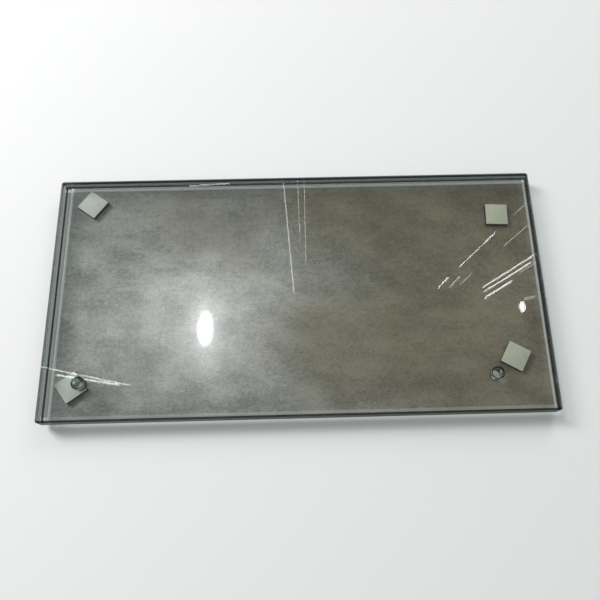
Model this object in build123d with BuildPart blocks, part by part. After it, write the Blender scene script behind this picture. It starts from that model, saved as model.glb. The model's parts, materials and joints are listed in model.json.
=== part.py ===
from build123d import *
import os

# Side glass of a display fridge: one thick sheet of clear toughened glass with two drilled
# fixing holes, lying back face down on four separator pads that cling to it.
# Frame: X along the sheet's long side, Y along its short side towards the edge without holes,
# Z up through the thickness. The origin is under the middle of the sheet, on the plane that
# the pads stand on. All sizes are in millimetres.

# Glass sheet
sheet_length = 390
sheet_width = 200
sheet_thickness = 12
corner_radius = 2
edge_arris = 1.5

# Fixing holes, both near the lower long edge
hole_diameter = 8
hole_arris = 1.0
hole_edge_distance = 29
left_hole_inset = 29
right_hole_inset = 45

# Separator pads: a cushion with a thin cling layer that holds it to the glass
pad_side = 18
cushion_thickness = 3
cling_thickness = 1

# Where the middle of each pad is from the sheet's nearest end and long edge, and how far it is turned
pad_layout = {
    "far_left": {"end_inset": 25.5, "edge_inset": 18.5, "turn": 53.5},
    "far_right": {"end_inset": 28.5, "edge_inset": 35, "turn": -2.5},
    "near_left": {"end_inset": 21.5, "edge_inset": 27.5, "turn": 35.5},
    "near_right": {"end_inset": 27.5, "edge_inset": 43.5, "turn": 60},
}

cling_level = cushion_thickness
sheet_level = cling_level + cling_thickness

left_end = -sheet_length / 2
right_end = sheet_length / 2
near_edge = -sheet_width / 2
far_edge = sheet_width / 2

os.makedirs("parts", exist_ok=True)


def pad_plane(place, level):
    """Plane at a height above the floor, centred on one pad and turned with it."""
    layout = pad_layout[place]
    if place.endswith("left"):
        x = left_end + layout["end_inset"]
    else:
        x = right_end - layout["end_inset"]
    if place.startswith("near"):
        y = near_edge + layout["edge_inset"]
    else:
        y = far_edge - layout["edge_inset"]
    return Plane(origin=(x, y, level)).rotated((0, 0, layout["turn"]))


# The sheet is cut to size with its corners dubbed, then arrised round both faces.
# The holes are drilled last, and both mouths of each are arrised too.
hole_y = near_edge + hole_edge_distance
hole_places = [(left_end + left_hole_inset, hole_y), (right_end - right_hole_inset, hole_y)]

with BuildPart() as glass_sheet:
    with BuildSketch(Plane.XY.offset(sheet_level)):
        RectangleRounded(sheet_length, sheet_width, corner_radius)
    extrude(amount=sheet_thickness)
    chamfer(glass_sheet.faces().group_by(Axis.Z)[0].edges(), edge_arris)
    chamfer(glass_sheet.faces().group_by(Axis.Z)[-1].edges(), edge_arris)
    with BuildSketch(Plane.XY.offset(sheet_level)):
        with Locations(*hole_places):
            Circle(hole_diameter / 2)
    extrude(amount=sheet_thickness, mode=Mode.SUBTRACT)
    for face in (glass_sheet.faces().sort_by(Axis.Z)[0], glass_sheet.faces().sort_by(Axis.Z)[-1]):
        chamfer(face.inner_wires().edges(), hole_arris)
glass_sheet.part.label = "glass_sheet"
export_step(glass_sheet.part, "parts/glass_sheet.step")

# Each pad is die-cut from one laminate, so its two layers have the same outline.
for place in pad_layout:
    with BuildPart() as cushion:
        with BuildSketch(pad_plane(place, 0)):
            Rectangle(pad_side, pad_side)
        extrude(amount=cushion_thickness)
    cushion.part.label = f"{place}_pad_cushion"
    export_step(cushion.part, f"parts/{place}_pad_cushion.step")

    with BuildPart() as cling_layer:
        with BuildSketch(pad_plane(place, cling_level)):
            Rectangle(pad_side, pad_side)
        extrude(amount=cling_thickness)
    cling_layer.part.label = f"{place}_pad_cling_layer"
    export_step(cling_layer.part, f"parts/{place}_pad_cling_layer.step")
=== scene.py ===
import json
import math

import bpy
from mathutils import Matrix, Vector


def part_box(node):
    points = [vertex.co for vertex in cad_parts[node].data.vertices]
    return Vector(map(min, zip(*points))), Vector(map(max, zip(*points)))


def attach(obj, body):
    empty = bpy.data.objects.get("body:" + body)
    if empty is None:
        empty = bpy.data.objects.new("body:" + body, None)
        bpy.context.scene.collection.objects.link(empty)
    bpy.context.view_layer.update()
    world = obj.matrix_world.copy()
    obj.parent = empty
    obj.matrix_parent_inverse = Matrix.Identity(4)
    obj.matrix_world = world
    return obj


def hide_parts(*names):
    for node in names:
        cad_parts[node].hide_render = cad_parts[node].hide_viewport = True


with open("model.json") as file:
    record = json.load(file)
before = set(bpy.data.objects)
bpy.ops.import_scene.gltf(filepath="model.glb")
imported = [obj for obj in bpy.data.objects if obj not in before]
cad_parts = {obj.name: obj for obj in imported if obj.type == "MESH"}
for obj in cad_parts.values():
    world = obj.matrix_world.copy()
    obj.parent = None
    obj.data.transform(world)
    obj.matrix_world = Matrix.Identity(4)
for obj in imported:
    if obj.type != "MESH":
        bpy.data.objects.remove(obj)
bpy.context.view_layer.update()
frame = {"nodes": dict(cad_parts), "record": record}


# Glass sheet: one sheet of clear float glass, cut to size, arrised, ground on its left and near edges,
# polished on the others, drilled and then toughened. Its back has a film of dust, with a painted glow
# left of the middle where the round lamp shows, and brown dirt with painted shade that darkens it
# towards the right. The film is clear along a line inside the edges and where the pads sit, and painted
# shade darkens its rim, dark lines inside the left and far edges, the near and left edges, the arrises
# and the mouths of the bores, with painted light on the left back arris.
def new_material(name):
    """An empty node material, as (material, tree, output node)."""
    material = bpy.data.materials.new(name)
    material.use_nodes = True
    tree = material.node_tree
    tree.nodes.clear()
    return material, tree, tree.nodes.new("ShaderNodeOutputMaterial")


def add_node(tree, kind, settings=None, inputs=None):
    """A node with its settings made, and each input set to a value or linked to a socket."""
    node = tree.nodes.new(kind)
    for key, value in (settings or {}).items():
        setattr(node, key, value)
    for key, value in (inputs or {}).items():
        if isinstance(value, bpy.types.NodeSocket):
            tree.links.new(value, node.inputs[key])
        else:
            node.inputs[key].default_value = value
    return node


def calc(tree, operation, *values):
    """The result of one Math node."""
    node = add_node(tree, "ShaderNodeMath", {"operation": operation}, dict(enumerate(values)))
    return node.outputs[0]


def blend(tree, share, first, second):
    """The colour between first and second, by share."""
    node = add_node(tree, "ShaderNodeMix", {"data_type": "RGBA"}, {0: share, 6: first, 7: second})
    return node.outputs[2]


def ramp(tree, value, low, high, start=0.0, end=1.0):
    """value, taken smoothly from between low and high to between start and end."""
    inputs = {"Value": value, "From Min": low, "From Max": high, "To Min": start, "To Max": end}
    return add_node(tree, "ShaderNodeMapRange", {"interpolation_type": "SMOOTHSTEP"}, inputs).outputs[0]


def noise(tree, vector, scale, detail, roughness=0.5):
    """Plain noise, from 0 to 1."""
    inputs = {"Vector": vector, "Scale": scale, "Detail": detail, "Roughness": roughness}
    return add_node(tree, "ShaderNodeTexNoise", None, inputs).outputs[0]


def mapped(tree, vector, kind="POINT", **changes):
    """vector, changed by a Mapping node's Location, Rotation or Scale."""
    inputs = {"Vector": vector, **changes}
    return add_node(tree, "ShaderNodeMapping", {"vector_type": kind}, inputs).outputs[0]


def distance(tree, vector, middle):
    """How far vector is from middle."""
    inputs = {0: vector, 1: middle}
    return add_node(tree, "ShaderNodeVectorMath", {"operation": "DISTANCE"}, inputs).outputs["Value"]


def parts_of(tree, vector):
    """The x, y and z of a vector."""
    return add_node(tree, "ShaderNodeSeparateXYZ", None, {"Vector": vector}).outputs


def mottle_group():
    """Cloudy patches with finer grain in them, as a mask from 0 to 1."""
    group = bpy.data.node_groups.new("mottle", "ShaderNodeTree")
    group.interface.new_socket("Vector", in_out="INPUT", socket_type="NodeSocketVector")
    for name in ("Patch Scale", "Grain Scale", "Grain Share"):
        group.interface.new_socket(name, in_out="INPUT", socket_type="NodeSocketFloat")
    group.interface.new_socket("Mask", in_out="OUTPUT", socket_type="NodeSocketFloat")
    given = group.nodes.new("NodeGroupInput").outputs
    result = group.nodes.new("NodeGroupOutput")
    patch = noise(group, given["Vector"], given["Patch Scale"], detail=5.0, roughness=0.6)
    grain = noise(group, given["Vector"], given["Grain Scale"], detail=5.0, roughness=0.6)
    shares = {0: given["Grain Share"], 2: patch, 3: grain}
    mixed = add_node(group, "ShaderNodeMix", None, shares).outputs[0]
    group.links.new(ramp(group, mixed, 0.36, 0.64), result.inputs["Mask"])
    return group


def mottle(tree, vector, patch_scale, grain_scale, grain_share):
    """The mottle group's mask in one material, with its own scales."""
    inputs = {"Vector": vector, "Patch Scale": patch_scale, "Grain Scale": grain_scale,
              "Grain Share": grain_share}
    return add_node(tree, "ShaderNodeGroup", {"node_tree": mottle_tree}, inputs).outputs["Mask"]


def pad_turn(pad):
    """How far one pad is turned, in radians, from the corners of its CAD node."""
    points = [vertex.co for vertex in frame["nodes"][f"{pad}_pad_cushion"].data.vertices]
    right = max(points, key=lambda point: point.x)
    far = max(points, key=lambda point: point.y)
    return math.atan2(far.y - right.y, far.x - right.x) - math.pi / 2


def pad_middle(pad):
    """The middle of one pad's cushion."""
    low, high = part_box(f"{pad}_pad_cushion")
    return (Vector(low) + Vector(high)) / 2


pads = ("far_left", "far_right", "near_left", "near_right")
pad_side = 0.018
sheet_low, sheet_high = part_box("glass_sheet")
face_skin = 0.00005
arris = 0.0015
mouth_arris = 0.001
bore_margin = 0.0002
# how far each clear line is from the edge, half its width and how clear it is
clear_lines = {"left": (0.0078, 0.0011, 1.0), "right": (0.0027, 0.0009, 0.65),
                "near": (0.0038, 0.0014, 0.32), "far": (0.0059, 0.0010, 0.4)}
# painted shade: how far each dark line is from the edge and half its width
painted_shade_lines = {"left": (0.0030, 0.0008), "far": (0.0024, 0.0010)}

glass_ior = 1.52
depth_colour = (0.467, 0.74, 0.63, 1)
depth_density = 14.0
clear_tint = (0.985, 0.99, 0.985, 1)
edge_tint = (0.28, 0.34, 0.31, 1)
# painted shade on the left and near edges: near black on the near edge, grey on the left edge, which
# light from the left brightens
left_painted_shade = (0.12, 0.14, 0.13, 1)
near_painted_shade = (0.015, 0.018, 0.016, 1)
bore_tint = (0.35, 0.38, 0.36, 1)
# painted shade: the mouths of the bores nearly black
mouth_painted_shade = (0.008, 0.0095, 0.009, 1)
# how light the arrises of each side are, on the front and on the back, and their cast: painted shade,
# darkest where the arrises show dark surroundings, and painted light on the left back arris, lit from
# the left
painted_arris_shades = {"left": (0.0015, 0.13), "right": (0.0015, 0.0012),
                "far": (0.0015, 0.03), "near": (0.012, 0.004)}
green_cast = 1.15
blue_cast = 1.07

polished_finish = 0.05
drilled_roughening = 0.08
ground_roughening = 0.6
arris_roughening = 0.08
smear_finish = 0.02

cloud_weight = 0.28
grain_weight = 0.42
streak_weight = 0.3
wiping_turn = 0.35
# painted glow: where and how widely the film is paler round the place where the round lamp shows
painted_glow_middle = (-0.070, -0.017, 0.0)
painted_glow_reach = (0.122, 0.084, 1.0)
painted_glow_drift = 0.8
# dirt with painted shade: how the film turns darker and browner towards the right
dirt_and_shade_drift = 0.4
dirt_and_shade_slant = 0.45
# painted shade: how strongly the film's rim is darkened
rim_shade_strength = 0.9
# painted glow: the film's colours round the place where the round lamp shows
painted_glow_pale = (1.0, 0.90, 0.91, 1)
painted_glow_dark = (0.43, 0.385, 0.385, 1)
dust_pale = (0.51, 0.475, 0.46, 1)
dust_dark = (0.15, 0.14, 0.135, 1)
# dirt with painted shade: the film's colours on the right
dirt_and_shade_pale = (0.285, 0.232, 0.168, 1)
dirt_and_shade_dark = (0.098, 0.077, 0.051, 1)
# painted shade: the colour of the film's rim
rim_painted_shade = (0.105, 0.116, 0.108, 1)
# painted shade: the near-black colour of the dark lines
painted_shade_line_colour = (0.0012, 0.0014, 0.0013, 1)

mottle_tree = mottle_group()
glass, tree, output = new_material("clear_toughened_glass")
place = add_node(tree, "ShaderNodeTexCoord").outputs["Object"]
x, y, z = parts_of(tree, place)
on_back = calc(tree, "LESS_THAN", z, sheet_low[2] + face_skin)
on_front = calc(tree, "GREATER_THAN", z, sheet_high[2] - face_skin)
on_face = calc(tree, "ADD", on_back, on_front)
back_arris = calc(tree, "LESS_THAN", z, sheet_low[2] + arris)
front_arris = calc(tree, "GREATER_THAN", z, sheet_high[2] - arris)
on_arris = calc(tree, "ADD", back_arris, front_arris)

# where the back is clear, under the pads and along lines inside the edges, the rim outside those lines,
# which painted shade darkens, and dark lines of painted shade in that rim
from_edge = {"left": calc(tree, "SUBTRACT", x, sheet_low[0]),
             "right": calc(tree, "SUBTRACT", sheet_high[0], x),
             "near": calc(tree, "SUBTRACT", y, sheet_low[1]),
             "far": calc(tree, "SUBTRACT", sheet_high[1], y)}
bare = shaded_rim = painted_shade_in_lines = 0.0
for side, (inset, half_width, strength) in clear_lines.items():
    line = calc(tree, "COMPARE", from_edge[side], inset, half_width)
    bare = calc(tree, "MAXIMUM", bare, calc(tree, "MULTIPLY", line, strength))
    shaded_rim = calc(tree, "MAXIMUM", shaded_rim, calc(tree, "LESS_THAN", from_edge[side], inset))
for side, (inset, half_width) in painted_shade_lines.items():
    painted_shade_in_lines = calc(tree, "MAXIMUM", painted_shade_in_lines, calc(tree, "COMPARE", from_edge[side], inset, half_width))
for pad in pads:
    turned = mapped(tree, place, "TEXTURE", Location=pad_middle(pad), Rotation=(0, 0, pad_turn(pad)))
    across, along, _ = parts_of(tree, turned)
    window = calc(tree, "MULTIPLY", calc(tree, "COMPARE", across, 0.0, pad_side / 2),
                  calc(tree, "COMPARE", along, 0.0, pad_side / 2))
    bare = calc(tree, "MAXIMUM", bare, window)

# how pale the film is: cloudy and grainy, with wiping streaks, pale flecks, dark specks and a darker
# far side
cloud = mottle(tree, place, patch_scale=10.0, grain_scale=40.0, grain_share=0.3)
grain = mottle(tree, place, patch_scale=260.0, grain_scale=700.0, grain_share=0.6)
wiped = mapped(tree, place, Rotation=(0, 0, wiping_turn), Scale=(14.0, 46.0, 1.0))
streak = mottle(tree, wiped, patch_scale=1.6, grain_scale=6.0, grain_share=0.4)
fleck = noise(tree, mapped(tree, place, Scale=(150.0, 250.0, 1.0)), scale=1.0, detail=4.0)
pale_flecks = ramp(tree, fleck, 0.62, 0.70, 0.0, 0.5)
dark_specks = ramp(tree, fleck, 0.28, 0.36, 0.15, 1.0)
far_side = ramp(tree, y, 0.03, 0.10, 1.0, 0.68)
cover = calc(tree, "MULTIPLY_ADD", cloud, cloud_weight, calc(tree, "MULTIPLY", grain, grain_weight))
cover = ramp(tree, calc(tree, "MULTIPLY_ADD", streak, streak_weight, cover), 0.08, 0.92)
cover = calc(tree, "ADD", cover, pale_flecks)
cover = calc(tree, "MULTIPLY", cover, dark_specks)
cover = calc(tree, "MULTIPLY", cover, far_side)

# dust with a painted glow where the round lamp shows, which gives way from left to right to brown
# dirt with painted shade
drift = noise(tree, place, scale=9.0, detail=5.0)
painted_glow = mapped(tree, place, "TEXTURE", Location=painted_glow_middle, Scale=painted_glow_reach)
painted_glow = calc(tree, "MULTIPLY_ADD", drift, painted_glow_drift, distance(tree, painted_glow, (0, 0, 0)))
painted_glow = ramp(tree, painted_glow, 0.45, 1.45, 1.0, 0.0)
dust_outside_painted_glow = blend(tree, cover, dust_dark, dust_pale)
dust_in_painted_glow = blend(tree, cover, painted_glow_dark, painted_glow_pale)
dust_and_painted_glow = blend(tree, painted_glow, dust_outside_painted_glow, dust_in_painted_glow)
dirt_and_shade = blend(tree, cover, dirt_and_shade_dark, dirt_and_shade_pale)
# dirt with painted shade: the film darker and browner towards the right
rightward = calc(tree, "MULTIPLY_ADD", drift, dirt_and_shade_drift, calc(tree, "MULTIPLY_ADD", y, dirt_and_shade_slant, x))
film = blend(tree, ramp(tree, rightward, 0.10, 0.30), dust_and_painted_glow, dirt_and_shade)
# painted shade darkens the film's rim
film = blend(tree, calc(tree, "MULTIPLY", shaded_rim, rim_shade_strength), film, rim_painted_shade)
film = blend(tree, bare, film, clear_tint)
# painted shade: dark lines inside the left and far edges
film = blend(tree, painted_shade_in_lines, film, painted_shade_line_colour)
tint = blend(tree, on_back, clear_tint, film)

# the tint and finish of edges, arrises and bores, and faces dulled only by smears; the left and near
# edges, the arrises and the mouths of the bores are tinted with painted shade
bore = 0.0
flat = mapped(tree, place, Scale=(1, 1, 0))
for mount in frame["record"]["mounts"]:
    if mount["kind"] == "bore":
        middle = (mount["pos_m"][0], mount["pos_m"][1], 0)
        reach = mount["dims"]["r_mm"] / 1000 + mouth_arris + bore_margin
        inside = calc(tree, "LESS_THAN", distance(tree, flat, middle), reach)
        bore = calc(tree, "MAXIMUM", bore, inside)
on_left = calc(tree, "LESS_THAN", x, sheet_low[0] + face_skin)
on_near = calc(tree, "LESS_THAN", y, sheet_low[1] + face_skin)
edge = blend(tree, bore, edge_tint, bore_tint)
# painted shade on the left and near edges
edge = blend(tree, on_left, edge, left_painted_shade)
edge = blend(tree, on_near, edge, near_painted_shade)
# painted shade in the mouths of the bores
edge = blend(tree, calc(tree, "MULTIPLY", on_arris, bore), edge, mouth_painted_shade)
# painted shade on the arrises, with painted light on the left back arris
for side, shades in painted_arris_shades.items():
    by_side = calc(tree, "LESS_THAN", from_edge[side], arris)
    for one_arris, shade in zip((front_arris, back_arris), shades):
        arris_tint = (shade, green_cast * shade, blue_cast * shade, 1)
        edge = blend(tree, calc(tree, "MULTIPLY", by_side, one_arris), edge, arris_tint)
tint = blend(tree, on_face, edge, tint)
on_ground = calc(tree, "MAXIMUM", on_left, on_near)
edge_finish = calc(tree, "MULTIPLY_ADD", bore, drilled_roughening, polished_finish)
edge_finish = calc(tree, "MULTIPLY_ADD", on_ground, ground_roughening, edge_finish)
edge_finish = calc(tree, "MULTIPLY_ADD", on_arris, arris_roughening, edge_finish)
smear = ramp(tree, streak, 0.6, 1.0, 0.0, smear_finish)
finish = add_node(tree, "ShaderNodeMix", None, {0: on_face, 2: edge_finish, 3: smear}).outputs[0]

# light from the lamps and the floor goes straight through, tinted as one crossing of the glass is
body = add_node(tree, "ShaderNodeBsdfPrincipled", None,
                {"Base Color": tint, "Roughness": finish, "IOR": glass_ior, "Transmission Weight": 1.0})
crossing = add_node(tree, "ShaderNodeGamma", None, {"Color": tint, "Gamma": 0.5}).outputs[0]
straight = add_node(tree, "ShaderNodeBsdfTransparent", None, {"Color": crossing}).outputs[0]
ray = add_node(tree, "ShaderNodeLightPath").outputs
surface = body.outputs[0]
for light_ray in (ray["Is Diffuse Ray"], ray["Is Shadow Ray"]):
    mixed = add_node(tree, "ShaderNodeMixShader", None, {0: light_ray, 1: surface, 2: straight})
    surface = mixed.outputs[0]
tree.links.new(surface, output.inputs["Surface"])
depth = add_node(tree, "ShaderNodeVolumeAbsorption", None,
                 {"Color": depth_colour, "Density": depth_density})
tree.links.new(depth.outputs[0], output.inputs["Volume"])

for slot in frame["nodes"]["glass_sheet"].material_slots:
    slot.material = glass


# Pad cushions: black closed-cell foam, die-cut into squares, that keeps the sheet clear of what it
# is laid on. The sheet's weight swells their sides a little.
cushion_low, cushion_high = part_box("far_left_pad_cushion")
cushion_height = cushion_high[2] - cushion_low[2]
corner_round = 0.0004
rim_round = 0.0002
cushion_swell = 1.008
crease_angle = math.radians(50)
foam_dark = (0.012, 0.012, 0.012, 1)
foam_pale = (0.034, 0.034, 0.032, 1)
dent_depth = 0.0001


def select_edges(piece, chosen):
    """Edit mode on piece, with only the edges selected that chosen accepts."""
    bpy.ops.object.mode_set(mode="EDIT")
    bpy.ops.mesh.select_mode(type="EDGE")
    bpy.ops.mesh.select_all(action="DESELECT")
    bpy.ops.object.mode_set(mode="OBJECT")
    points = piece.data.vertices
    for edge in piece.data.edges:
        first, second = (points[index].co for index in edge.vertices)
        edge.select = chosen(first, second)
    bpy.ops.object.mode_set(mode="EDIT")


def cut_square(name, height, swell):
    """A die-cut square of foam round the origin, with eased corners and rims and swollen sides."""
    slack = height / 10
    bpy.ops.object.select_all(action="DESELECT")
    bpy.ops.mesh.primitive_cube_add(size=1)
    piece = bpy.context.object
    piece.name = name
    piece.scale = (pad_side, pad_side, height)
    bpy.ops.object.transform_apply(scale=True)
    select_edges(piece, lambda a, b: abs(a.z - b.z) > height / 2)
    bpy.ops.mesh.bevel(offset=corner_round, segments=4, affect="EDGES")
    bpy.ops.mesh.select_all(action="SELECT")
    bpy.ops.mesh.bisect(plane_co=(0, 0, 0), plane_no=(0, 0, 1))
    select_edges(piece, lambda a, b: abs(a.z) < slack and abs(b.z) < slack)
    bpy.ops.transform.resize(value=(swell, swell, 1), center_override=(0, 0, 0))
    select_edges(piece, lambda a, b: a.z * b.z > 0 and abs(a.z - b.z) < slack)
    bpy.ops.mesh.bevel(offset=rim_round, segments=3, affect="EDGES")
    bpy.ops.mesh.select_all(action="SELECT")
    bpy.ops.mesh.normals_make_consistent(inside=False)
    bpy.ops.object.mode_set(mode="OBJECT")
    bpy.ops.object.shade_smooth_by_angle(angle=crease_angle)
    return piece


def set_down(pattern, pad, name, level):
    """A copy of pattern with its own mesh, turned and set in one pad's place, its middle at level."""
    piece = pattern.copy()
    piece.data = pattern.data.copy()
    piece.name = name
    bpy.context.collection.objects.link(piece)
    middle = pad_middle(pad)
    piece.location = (middle.x, middle.y, level)
    piece.rotation_euler = (0, 0, pad_turn(pad))
    bpy.ops.object.select_all(action="DESELECT")
    piece.select_set(True)
    bpy.context.view_layer.objects.active = piece
    bpy.ops.object.transform_apply(location=True, rotation=True, scale=True)
    return piece


def add_surface(tree, output, inputs):
    """A Principled surface with these inputs, put out by the material."""
    body = add_node(tree, "ShaderNodeBsdfPrincipled", None, inputs)
    tree.links.new(body.outputs[0], output.inputs["Surface"])


foam, tree, output = new_material("black_cushion_foam")
place = add_node(tree, "ShaderNodeTexCoord").outputs["Object"]
patches = mottle(tree, place, patch_scale=180.0, grain_scale=1400.0, grain_share=0.6)
colour = blend(tree, patches, foam_dark, foam_pale)
cells = add_node(tree, "ShaderNodeTexVoronoi", None, {"Vector": place, "Scale": 4200.0})
pores = add_node(tree, "ShaderNodeBump", None,
                 {"Strength": 0.35, "Distance": dent_depth, "Height": cells.outputs["Distance"]})
add_surface(tree, output, {"Base Color": colour, "Roughness": 0.85, "Normal": pores.outputs[0]})

pattern = cut_square("cushion_pattern", cushion_height, cushion_swell)
pattern.data.materials.append(foam)
for pad in pads:
    piece = set_down(pattern, pad, f"{pad}_cushion", cushion_low[2] + cushion_height / 2)
    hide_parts(f"{pad}_pad_cushion")
    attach(piece, "root")
bpy.data.objects.remove(pattern)


# Cling layers: a thin off-white foam, laminated to the cushions before they are cut. It grips the
# glass without glue and peels off clean. The two on the right are tinted yellower by painted warm light.
cling_low, cling_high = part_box("far_left_pad_cling_layer")
grip_gap = 0.00003
cling_height = cling_high[2] - cling_low[2] - grip_gap
cling_swell = 1.0
neutral_dark = (0.485, 0.46, 0.435, 1)
neutral_pale = (0.545, 0.515, 0.49, 1)
# painted warm light: the cling colours on the right
warm_lit_dark = (0.465, 0.435, 0.34, 1)
warm_lit_pale = (0.525, 0.49, 0.385, 1)

cling, tree, output = new_material("off_white_cling_foam")
place = add_node(tree, "ShaderNodeTexCoord").outputs["Object"]
skin = mottle(tree, place, patch_scale=130.0, grain_scale=900.0, grain_share=0.5)
neutral = blend(tree, skin, neutral_dark, neutral_pale)
warm_lit = blend(tree, skin, warm_lit_dark, warm_lit_pale)
# painted warm light: the cling turns yellower towards the right
on_right = ramp(tree, parts_of(tree, place)["X"], -0.1, 0.1)
colour = blend(tree, on_right, neutral, warm_lit)
dents = add_node(tree, "ShaderNodeBump", None, {"Strength": 0.2, "Distance": dent_depth, "Height": skin})
add_surface(tree, output, {"Base Color": colour, "Roughness": 0.6, "Normal": dents.outputs[0]})

pattern = cut_square("cling_pattern", cling_height, cling_swell)
pattern.data.materials.append(cling)
for pad in pads:
    piece = set_down(pattern, pad, f"{pad}_cling_layer", cling_low[2] + cling_height / 2)
    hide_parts(f"{pad}_pad_cling_layer")
    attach(piece, "root")
bpy.data.objects.remove(pattern)


# Studio: a plain pale floor under soft light from two boxes, and small lamps overhead that show
# in the glass, each hung where the glass mirrors it. The camera looks down on the sheet.
floor_side = 8
floor_colour = (0.94, 0.94, 0.93, 1)
sky_colour = (0.95, 0.98, 1.0, 1)
sky_strength = 0.34
box_side = 0.8
sheet_middle = (0, 0, 0)
straight_down = Vector((0, 0, -1))
lamp_height = 1.5
picture_side = 600

bpy.ops.object.select_all(action="DESELECT")
bpy.ops.mesh.primitive_plane_add(size=floor_side, location=(0, 0, 0))
floor = bpy.context.object
floor.name = "studio_floor"
paint, tree, output = new_material("pale_floor")
add_surface(tree, output, {"Base Color": floor_colour, "Roughness": 0.8})
floor.data.materials.append(paint)

world = bpy.data.worlds.new("studio")
world.use_nodes = True
sky = world.node_tree.nodes["Background"].inputs
sky["Color"].default_value = sky_colour
sky["Strength"].default_value = sky_strength
bpy.context.scene.world = world

camera_data = bpy.data.cameras.new("camera")
camera_data.sensor_width = 36.0
camera_data.lens = 39.04
camera_data.shift_x = -0.0256
camera_data.shift_y = 0.001
camera = bpy.data.objects.new("camera", camera_data)
bpy.context.collection.objects.link(camera)
camera.location = (0.0059, -0.1775, 0.4959)
camera.rotation_euler = [math.radians(angle) for angle in (19.233, -0.381, -1.516)]
bpy.context.scene.camera = camera
bpy.context.scene.view_settings.view_transform = "Standard"


def area_lamp(name, start, aim, width, depth, radiance, shape="RECTANGLE", turn=0.0):
    """An area light of this radiance at start, facing aim, that the camera doesn't see."""
    light = bpy.data.lights.new(name, "AREA")
    light.shape = shape
    light.size = width
    light.size_y = depth
    light.energy = radiance * math.pi * width * depth * (math.pi / 4 if shape == "ELLIPSE" else 1)
    lamp = bpy.data.objects.new(name, light)
    bpy.context.collection.objects.link(lamp)
    lamp.location = start
    lamp.rotation_euler = (Vector(aim) - Vector(start)).to_track_quat("-Z", "Y").to_euler()
    lamp.rotation_euler.rotate_axis("Z", turn)
    lamp.visible_camera = False
    return lamp


def overhead(column, row):
    """The place at lamp height that the front of the glass mirrors to one pixel of the picture."""
    ray = Vector((column / picture_side - 0.5 + camera_data.shift_x,
                  0.5 - row / picture_side + camera_data.shift_y,
                  -camera_data.lens / camera_data.sensor_width))
    ray.rotate(camera.rotation_euler)
    climb = lamp_height + camera.location.z - 2 * sheet_high[2]
    mirrored = camera.location - ray * (climb / ray.z)
    return Vector((mirrored.x, mirrored.y, lamp_height))


def oval_lamp(name, pixel, width, depth, radiance):
    """An oval light overhead, facing down, that shows in the glass at pixel."""
    middle = overhead(*pixel)
    return area_lamp(name, middle, middle + straight_down, width, depth, radiance, shape="ELLIPSE")


def strip_lamp(name, first_pixel, last_pixel, width, radiance):
    """A thin strip light overhead, facing down, that shows in the glass between two pixels."""
    start = overhead(*first_pixel)
    end = overhead(*last_pixel)
    run = end - start
    middle = (start + end) / 2
    turn = math.atan2(run.y, run.x) - math.pi / 2
    return area_lamp(name, middle, middle + straight_down, width, run.length, radiance, turn=turn)


area_lamp("key_box", (-1.55, 0.9, 1.45), sheet_middle, box_side, box_side, radiance=19.0)
area_lamp("fill_box", (0.9, 1.7, 1.3), sheet_middle, box_side, box_side, radiance=4.5)

# a bright core in a wide halo, out to the lamp's rim at half its parametric width
round_lamp_pixel = (205, 328)
halo_fall = 3.0
halo_share = 0.3
round_lamp = oval_lamp("round_lamp", round_lamp_pixel, 0.285, 0.645, radiance=16.0)
round_lamp.data.use_nodes = True
tree = round_lamp.data.node_tree
spot = add_node(tree, "ShaderNodeNewGeometry").outputs["Parametric"]
from_middle = distance(tree, spot, (0.5, 0.5, 0))
core = ramp(tree, from_middle, 0.02, 0.115, 1.0, 0.0)
halo = calc(tree, "POWER", ramp(tree, from_middle, 0.0, 0.5, 1.0, 0.0), halo_fall)
glow = calc(tree, "MULTIPLY_ADD", halo, halo_share, core)
tree.links.new(glow, tree.nodes["Emission"].inputs["Strength"])

small_lamp_pixel = (523, 306)
oval_lamp("small_lamp", small_lamp_pixel, 0.018, 0.036, radiance=14.0)

# the pixels at which the ends of each strip show in the glass, its width and its radiance
strips = {
    "near_left_thin": ((40.5, 366.5), (130, 385), 0.003, 8.0),
    "near_left_broad": ((56, 374.5), (119, 384.5), 0.005, 8.0),
    "far_edge": ((189.5, 186), (229.5, 183.5), 0.006, 6.5),
    "far_long": ((283.5, 183), (294, 292), 0.003, 5.0),
    "far_short": ((297.5, 180), (300, 240), 0.002, 4.0),
    "far_middle": ((304, 180), (306, 262), 0.002, 4.0),
    "left_dash": ((438.5, 287.5), (448, 277.5), 0.003, 12.0),
    "middle_dash": ((450, 286.5), (459.5, 276.5), 0.003, 6.0),
    "right_dash": ((459.5, 285), (472, 273), 0.003, 3.0),
    "slant": ((460, 266), (495.5, 232), 0.002, 12.0),
    "right_edge_near": ((504.5, 245), (527.5, 225), 0.003, 3.0),
    "right_edge_far": ((515, 213), (526, 203.5), 0.003, 3.0),
    "far_bar": ((483.5, 286.5), (536, 253.5), 0.003, 12.0),
    "middle_bar": ((484.5, 291), (532, 261.5), 0.003, 12.0),
    "near_bar": ((485.5, 297), (512, 280.5), 0.004, 12.0),
    "near_bar_end": ((520, 272), (536, 262), 0.003, 4.0),
    "low_dash": ((525, 298), (535, 296), 0.004, 5.0),
}
for name, (first_pixel, last_pixel, width, radiance) in strips.items():
    strip_lamp(f"{name}_strip", first_pixel, last_pixel, width, radiance)
